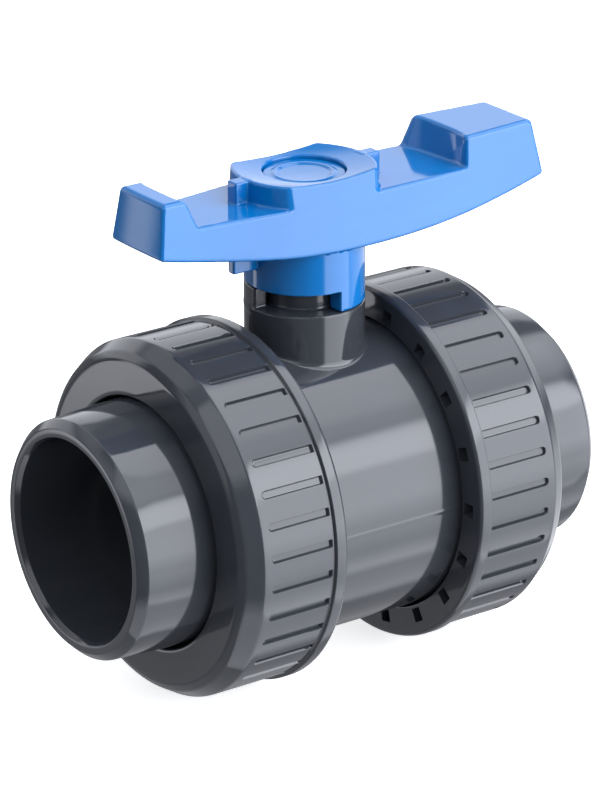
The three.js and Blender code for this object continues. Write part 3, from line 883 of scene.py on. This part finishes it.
def nut_line():
    """The nut's section, with extra points where the grips end and where the pockets start."""
    shoulder = COLLAR_FRONT + GAP
    pockets = [(r, NUT_REAR) for r in (48.0, 48.7, 48.9, 52.9, 53.1, 53.8)]
    steps = [(NUT_BAND_R, NUT_REAR + a) for a in (4.9, 5.1, 5.3, 5.5, 5.7)]
    grip_ends = (-1.6, -1.2, -0.9, -0.6, -0.3, -0.1, 0.1, 0.3, 0.6)
    grips = [(NUT_BAND_R, GRIP_REACH + a) for a in grip_ends]
    smooth = rounded([
        (NUT_ROOT_R + 0.4, NUT_REAR, 0.4),
        *pockets,
        (NUT_RIM_R, NUT_REAR, 1.3),
        (NUT_RIM_R, NUT_REAR + 4.2, 0.35),
        (NUT_BAND_R, NUT_REAR + 4.6, 0.2),
        *steps,
        *grips,
        (NUT_BAND_R, NUT_FRONT - 6.3, 2.0),
        (NUT_BAND_R - 3.0, NUT_FRONT - 1.3, 2.0),
        (NUT_BAND_R - 5.4, NUT_FRONT, 2.2),
        (NUT_HOLE_R, NUT_FRONT, 0.6),
        (NUT_HOLE_R, shoulder, 0.3),
        (COLLAR_R + 1.4, shoulder, 0.8),
        (COLLAR_R + 1.4, BODY_HALF + 1.5, 0.3),
        (NUT_ROOT_R, BODY_HALF + 0.5, 0.3),
        (NUT_ROOT_R, NUT_REAR + 2.4, 0.3),
    ])
    return subdivided(smooth, 1.1)


def nut_angles():
    """Angles with more of them where the sides of the grips and the pockets fall."""
    turn = 360 / GRIPS
    half = np.array([0.5, 0.93, 1.0, 1.12, 1.24, 1.35, 1.43, 1.9, 2.55, 2.64, 2.85, 2.95, 3.6, 4.3])
    period = np.concatenate([-half[::-1], [0.0], half, [turn / 2]])
    degrees = (np.arange(GRIPS)[:, None] * turn + turn / 2 + period[None, :]).reshape(-1)
    return np.radians(np.sort(degrees))


def grip(radius, along, angle):
    """1 in the grooves round the band, which have a round end towards the nut's front."""
    turn = 360 / GRIPS
    from_middle = np.degrees(angle) % turn - turn / 2
    across = np.radians(from_middle) * NUT_BAND_R
    past = np.maximum(along - (GRIP_REACH - GRIP_HALF), 0)
    reach = np.hypot(across, past)
    behind = np.clip((along - NUT_REAR - GRIP_START) / 0.6, 0, 1)
    outer = np.clip((radius - (NUT_BAND_R - 1.2)) / 0.2, 0, 1)
    return np.clip((GRIP_HALF + GRIP_FLANK / 2 - reach) / GRIP_FLANK, 0, 1) * behind * outer


def pocket(radius, along, angle):
    """1 in the square pockets of the rear face."""
    turn = 360 / POCKETS
    from_middle = (np.degrees(angle) + turn / 2) % turn - turn / 2
    across = np.abs(np.radians(from_middle) * (POCKET_R - 0.1))
    rear = np.clip((NUT_REAR + 0.3 - along) / 0.2, 0, 1)
    tangent = np.clip((POCKET_HALF - 0.01 - across) / 0.18, 0, 1)
    radial = np.clip((POCKET_HALF - np.abs(radius - POCKET_R)) / POCKET_FLANK, 0, 1)
    return rear * tangent * radial


def nut_thread(radius, along, angle):
    """How high the thread inside the nut stands, from 0 to 1."""
    in_bore = (radius < NUT_ROOT_R + 0.35) & (radius > 46)
    in_bore = in_bore & (along > BARREL_HALF + 1.2) & (along < BODY_HALF + 0.4)
    wave = thread_wave(along, angle, THREAD_START - PITCH / 2, 0.8, 1.6)
    return wave * in_bore * bump(along - NUT_THREAD_MIDDLE, NUT_THREAD_HALF, 1.5)


def nut_shape(radius, along, angle):
    radius = radius - GRIP_DEPTH * grip(radius, along, angle)
    along = along + POCKET_DEPTH * pocket(radius, along, angle)
    radius = radius - (NUT_ROOT_R - NUT_CREST_R) * nut_thread(radius, along, angle)
    return radius, along


def add_ends():
    end = turned(subdivided(end_line(), 6.0), even_angles(144))
    nut = turned(nut_line(), nut_angles(), nut_shape)
    ring = turned(ring_line(FACE_RING_R, FACE_RING_T, END_INNER + 1.5), even_angles(72))
    pieces = (
        ("end_moulding", end, "grey_pvc", "end", "end_connector"),
        ("nut_moulding", nut, "grey_pvc", "nut", "union_nut"),
        ("face_ring", ring, "black_rubber", "end", "face_oring"),
    )
    for name, side in (("inlet", -1), ("outlet", 1)):
        for piece, mesh, slot, body, node in pieces:
            add_piece(f"{piece}_{name}", side_turned(mesh, side), slot, f"{name}_{body}", f"{node}_{name}")


# ------------------------------------------------------------------ inner pieces


def ball_field(x, y, z):
    sphere = np.sqrt(x * x + y * y + z * z) - BALL_R
    slot = meet(slab(x, -TANG_X / 2 - GAP, TANG_X / 2 + GAP), TANG_BOTTOM - 0.4 - z, 0.8)
    return cut(cut(sphere, np.hypot(y, z) - FLOW_R, 0.8), slot, 0.4)


def stem_field(x, y, z):
    radial = np.hypot(x, y)
    shaft = rod(radial, z, STEM_R, STEM_FOOT, NECK_TOP + 0.1, 0.4)
    for groove in STEM_GROOVES:
        across = slab(z, groove - STEM_GROOVE_HALF, groove + STEM_GROOVE_HALF)
        shaft = cut(shaft, meet(across, STEM_GROOVE_R - radial, 0.3), 0.25)
    collar = rod(radial, z, STEM_COLLAR_R, STEM_FOOT, STEM_SHELF - 1.8, 0.5)
    tang = rod(radial, z, STEM_COLLAR_R - 0.2, TANG_BOTTOM, STEM_FOOT + 2, 0.4)
    tang = meet(tang, slab(x, -TANG_X / 2, TANG_X / 2), 0.5)
    half = SQUARE / 2
    square = brick(x, y, z, -half, half, -half, half, NECK_TOP - 2, STEM_TOP, 0.5)
    square = meet(square, radial - STEM_R + 0.6, 0.3)
    return join(join(join(shaft, collar, 0.3), tang, 0.6), square, 0.3)


def carrier_field(x, y, z):
    round_x = np.hypot(y, z)
    ring = rod(round_x, x, CARRIER_R, CARRIER_IN, CARRIER_OUT, 0.5)
    groove = slab(x, CARRIER_GROOVE - CARRIER_GROOVE_HALF, CARRIER_GROOVE + CARRIER_GROOVE_HALF)
    groove = meet(groove, CARRIER_R - CARRIER_GROOVE_DEPTH - round_x, 0.2)
    seat_pocket = rod(round_x, x, SEAT_POCKET_R, 0, SEAT_BACK + GAP, 0.3)
    seat_groove = seat_ring_groove(round_x, x)
    half = NOTCH_WIDTH / 2
    notch = meet(slab(z, -half, half), CARRIER_OUT - NOTCH_DEPTH - x, 0.4)
    notch = np.maximum(notch, np.abs(y) - NOTCH_REACH)
    inner = np.minimum(np.minimum(round_x - FLOW_R, seat_pocket), np.minimum(groove, seat_groove))
    return cut(cut(ring, inner, 0.3), notch, 0.3)


def seat_line():
    """The section of a seat, with its face on the ball."""
    tip = math.sqrt(SEAT_FACE_R ** 2 - SEAT_FRONT ** 2)
    inner = FLOW_R + 0.3
    face = [(r, math.sqrt(SEAT_FACE_R ** 2 - r * r)) for r in np.linspace(inner, tip, 7)]
    outer = SEAT_POCKET_R - GAP
    return rounded(face + [(outer, SEAT_FRONT, 0.3), (outer, SEAT_BACK, 0.5), (inner, SEAT_BACK, 0.3)])


def add_inner_mouldings():
    reach = BALL_R + 1.3
    add_surface("ball_moulding", ball_field, (-reach,) * 3, (reach,) * 3, 0.9, "grey_pvc", "ball", "ball")
    low = (-14.5, -14.5, TANG_BOTTOM - 1)
    high = (14.5, 14.5, STEM_TOP + 1)
    add_surface("stem_moulding", stem_field, low, high, 0.55, "grey_pvc", "stem", "stem")
    low = (CARRIER_IN - 1, -42, -42)
    high = (CARRIER_OUT + 1, 42, 42)
    add_surface("carrier_moulding", carrier_field, low, high, 0.8, "grey_pvc", "valve", "seat_carrier")


def add_seats():
    seat = turned(seat_line(), even_angles(120))
    ring = turned(ring_line(SEAT_RING_R, SEAT_RING_T, SEAT_BACK + GAP + 1.9), even_angles(72))
    for name, side in (("inlet", -1), ("outlet", 1)):
        seat_here = side_turned(seat, side)
        ring_here = side_turned(ring, side)
        add_piece(f"seat_turned_{name}", seat_here, "seat_white", "valve", f"ball_seat_{name}")
        add_piece(f"seat_ring_{name}", ring_here, "black_rubber", "valve", f"seat_oring_{name}")
    line = ring_line(CARRIER_R - GAP - CARRIER_RING_T, CARRIER_RING_T, CARRIER_GROOVE)
    carrier_ring = turned(line, even_angles(72))
    add_piece("carrier_ring", carrier_ring, "black_rubber", "valve", "carrier_oring")


def add_stem_seals():
    top = STEM_SHELF - GAP
    bottom = top - WASHER_T
    washer = rounded([
        (STEM_R + GAP, bottom, 0.2),
        (STEM_COLLAR_R, bottom, 0.2),
        (STEM_COLLAR_R, top, 0.2),
        (STEM_R + GAP, top, 0.2),
    ])
    washer = upright(turned(washer, even_angles(96)))
    add_piece("washer_turned", washer, "seat_white", "stem", "stem_washer")
    for name, z in zip(("lower", "upper"), STEM_GROOVES):
        ring = upright(turned(ring_line(STEM_RING_R, STEM_RING_T, z), even_angles(60)))
        add_piece(f"stem_ring_{name}", ring, "black_rubber", "stem", f"stem_oring_{name}")


# ------------------------------------------------------------------ floor, light, camera


def add_floor():
    """A pale floor at the nuts' lowest point. The object's own reflections don't show it."""
    bpy.ops.mesh.primitive_plane_add(size=FLOOR_SIZE_M, location=(0, 0, -NUT_RIM_R * MM))
    floor = bpy.context.object
    floor.name = "floor"
    material, tree, shader = new_material("studio_floor")
    shader.inputs["Base Color"].default_value = (FLOOR_GREY, FLOOR_GREY, FLOOR_GREY, 1)
    shader.inputs["Roughness"].default_value = 0.8
    shader.inputs["Emission Color"].default_value = (1, 1, 1, 1)
    shader.inputs["Emission Strength"].default_value = FLOOR_GLOW
    floor.data.materials.append(material)
    floor.visible_glossy = False
    floor.visible_diffuse = False


def window(tree, value, low, high, soft):
    """1 between low and high, 0 outside."""
    rise = remap(tree, value, low - soft, low + soft, 0, 1)
    fall = remap(tree, value, high - soft, high + soft, 1, 0)
    return times(tree, rise, fall)


def add_light():
    world = bpy.data.worlds.new("studio")
    bpy.context.scene.world = world
    world.use_nodes = True
    tree = world.node_tree
    direction = tree.nodes.new("ShaderNodeTexCoord").outputs["Generated"]
    split = tree.nodes.new("ShaderNodeSeparateXYZ")
    tree.links.new(direction, split.inputs["Vector"])
    heading = math_node(tree, "ARCTAN2", split.outputs["Y"], split.outputs["X"])
    heading = times(tree, heading, 180 / math.pi)
    height = math_node(tree, "ARCSINE", split.outputs["Z"], 0.0)
    height = times(tree, height, 180 / math.pi)
    total = remap(tree, height, OVERHEAD_FROM, OVERHEAD_FULL, AMBIENT, OVERHEAD)
    for start, end, low, high, soft, strength in GLOWS:
        across = window(tree, heading, start, end, soft)
        glow = times(tree, across, window(tree, height, low, high, soft))
        total = plus(tree, total, times(tree, glow, strength))
    background = tree.nodes["Background"]
    tree.links.new(total, background.inputs["Strength"])
    background.inputs["Color"].default_value = (*LIGHT_COLOR, 1)
    bpy.context.scene.view_settings.view_transform = "Standard"


def add_camera():
    back = Vector((
        math.sin(CAMERA_AZIMUTH) * math.cos(CAMERA_ELEVATION),
        -math.cos(CAMERA_AZIMUTH) * math.cos(CAMERA_ELEVATION),
        math.sin(CAMERA_ELEVATION),
    ))
    data = bpy.data.cameras.new("camera")
    data.lens = CAMERA_LENS
    data.sensor_width = CAMERA_SENSOR
    data.clip_start = 0.01
    camera = bpy.data.objects.new("camera", data)
    camera.location = CAMERA_AIM_M + back * CAMERA_DISTANCE_M
    camera.rotation_euler = back.to_track_quat("Z", "Y").to_euler()
    camera.rotation_euler.rotate_axis("Z", CAMERA_ROLL)
    bpy.context.scene.collection.objects.link(camera)
    bpy.context.scene.camera = camera


add_body()
add_handle()
add_cap()
add_ends()
add_inner_mouldings()
add_seats()
add_stem_seals()
add_floor()
add_light()
add_camera()
